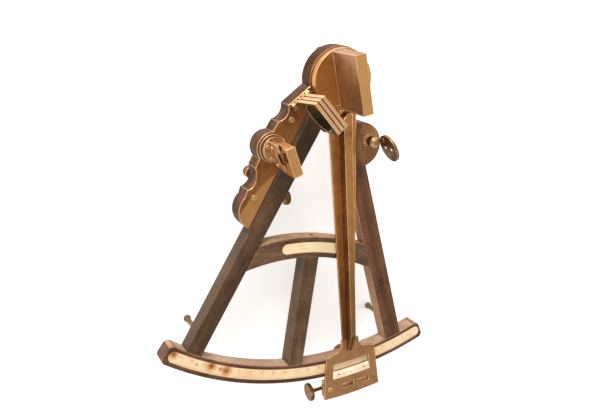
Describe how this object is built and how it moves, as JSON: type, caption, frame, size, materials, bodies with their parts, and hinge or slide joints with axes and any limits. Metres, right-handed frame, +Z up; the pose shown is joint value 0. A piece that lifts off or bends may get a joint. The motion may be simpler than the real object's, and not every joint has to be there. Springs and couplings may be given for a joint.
{
  "type": "reflecting octant",
  "caption": "Dark wood octant with brass index arm, ivory scale, index and horizon mirrors, swinging shades, sight disc and fine adjusting screws.",
  "frame": {"origin": "centre of the resting face of the foot behind the round top", "axes": "+Z up, out of the face, away from the surface it lies on; +Y from the arc to the round top, along the frame's middle; +X to the right"},
  "size_m": [0.2849, 0.3571, 0.1018],
  "materials": {
    "dark_wood": "dark oiled ebony, worn",
    "old_brass": "old lacquered brass, brushed, with dark patina",
    "ivory": "aged ivory, satin, with stains",
    "shade_glass": "dark neutral glass, polished",
    "silvered_glass": "silvered glass, aged"
  },
  "bodies": {
    "frame": {"arc": "dark_wood", "left_bar": "dark_wood", "right_bar": "dark_wood", "cross_brace": "dark_wood", "centre_strut": "dark_wood", "apex_block": "dark_wood", "wavy_block": "dark_wood", "block_plate": "old_brass", "plate_screws": "old_brass", "arc_scale": "ivory", "name_plate": "ivory", "rear_feet": "old_brass", "bearing_bush": "old_brass", "shade_bracket": "old_brass", "shade_pin": "old_brass", "horizon_base": "old_brass", "adjusting_post": "old_brass", "sight_post": "old_brass", "sight_cap": "old_brass"},
    "index": {"index_arm": "old_brass", "arm_rib": "old_brass", "vernier_plate": "old_brass", "vernier_scale": "ivory", "vernier_pins": "old_brass", "bearing_block": "old_brass", "bearing_screw": "old_brass", "index_arbor": "old_brass", "arbor_washer": "old_brass", "arbor_screw": "old_brass", "index_mirror_base": "old_brass", "mirror_base_screws": "old_brass", "index_mirror_tray": "old_brass", "index_mirror_glass": "silvered_glass"},
    "clamp": {"clamp_block": "old_brass", "clamp_shoe": "old_brass"},
    "clamp_thumbscrew": {"clamp_screw": "old_brass"},
    "tangent": {"tangent_screw": "old_brass"},
    "shade_1": {"shade_frame_1": "old_brass", "shade_glass_1": "shade_glass"},
    "shade_2": {"shade_frame_2": "old_brass", "shade_glass_2": "shade_glass"},
    "shade_3": {"shade_frame_3": "old_brass", "shade_glass_3": "shade_glass"},
    "horizon": {"horizon_turntable": "old_brass", "horizon_bracket": "old_brass", "horizon_foot_screws": "old_brass", "horizon_tilt_screws": "old_brass", "horizon_spring_plate": "old_brass", "horizon_tray": "old_brass", "horizon_glass": "silvered_glass", "horizon_clip": "old_brass", "horizon_lever": "old_brass", "horizon_nut": "old_brass"},
    "adjuster": {"adjusting_screw": "old_brass"},
    "lever_lock": {"lever_lock_screw": "old_brass"},
    "sight": {"sight_disc": "old_brass"}
  },
  "joints": [
    {"name": "index_swing", "type": "hinge", "parent": "frame", "child": "index", "pos_m": [0, -0.021, 0.03], "axis": [0, 0, 1], "range_deg": [-35, 9.7]},
    {"name": "slow_motion", "type": "slide", "parent": "index", "child": "clamp", "axis": [0.9781, 0.2079, 0], "range_m": [-0.005, 0.005]},
    {"name": "tangent_turn", "type": "hinge", "parent": "index", "child": "tangent", "pos_m": [0.06576, -0.33039, 0.0389], "axis": [0.9781, 0.2079, 0], "range_deg": [-2571.5, 2571.5]},
    {"name": "clamp_turn", "type": "hinge", "parent": "clamp", "child": "clamp_thumbscrew", "pos_m": [0.06737, -0.30623, 0.02], "axis": [0, 0, 1], "range_deg": [0, 720]},
    {"name": "shade_1_swing", "type": "hinge", "parent": "frame", "child": "shade_1", "pos_m": [-0.00921, -0.01211, 0.0506], "axis": [-0.6947, -0.7193, 0], "range_deg": [-8.5, 81.5]},
    {"name": "shade_2_swing", "type": "hinge", "parent": "frame", "child": "shade_2", "pos_m": [-0.00921, -0.01211, 0.0506], "axis": [-0.6947, -0.7193, 0], "range_deg": [-8.5, 81.5]},
    {"name": "shade_3_swing", "type": "hinge", "parent": "frame", "child": "shade_3", "pos_m": [-0.00921, -0.01211, 0.0506], "axis": [-0.6947, -0.7193, 0], "range_deg": [-8.5, 81.5]},
    {"name": "horizon_turn", "type": "hinge", "parent": "frame", "child": "horizon", "pos_m": [-0.0575, -0.0868, 0.0477], "axis": [0, 0, 1], "range_deg": [-1.5, 1.5]},
    {"name": "adjuster_turn", "type": "hinge", "parent": "frame", "child": "adjuster", "pos_m": [-0.052, -0.1412, 0.0232], "axis": [0.9949, 0.1006, 0], "range_deg": [-736.2, 736.2]},
    {"name": "lever_lock_turn", "type": "hinge", "parent": "frame", "child": "lever_lock", "pos_m": [-0.066, -0.114, 0.022], "axis": [0, 0, 1], "range_deg": [0, 180]},
    {"name": "sight_swivel", "type": "hinge", "parent": "frame", "child": "sight", "pos_m": [0.041, -0.0742, 0.0512], "axis": [0, 0, 1], "range_deg": [-20, 15]}
  ],
  "couplings": [
    {"joint": "tangent_turn", "follows": "slow_motion", "rad_per_m": 8976},
    {"joint": "adjuster_turn", "follows": "horizon_turn", "ratio": 490.78}
  ]
}
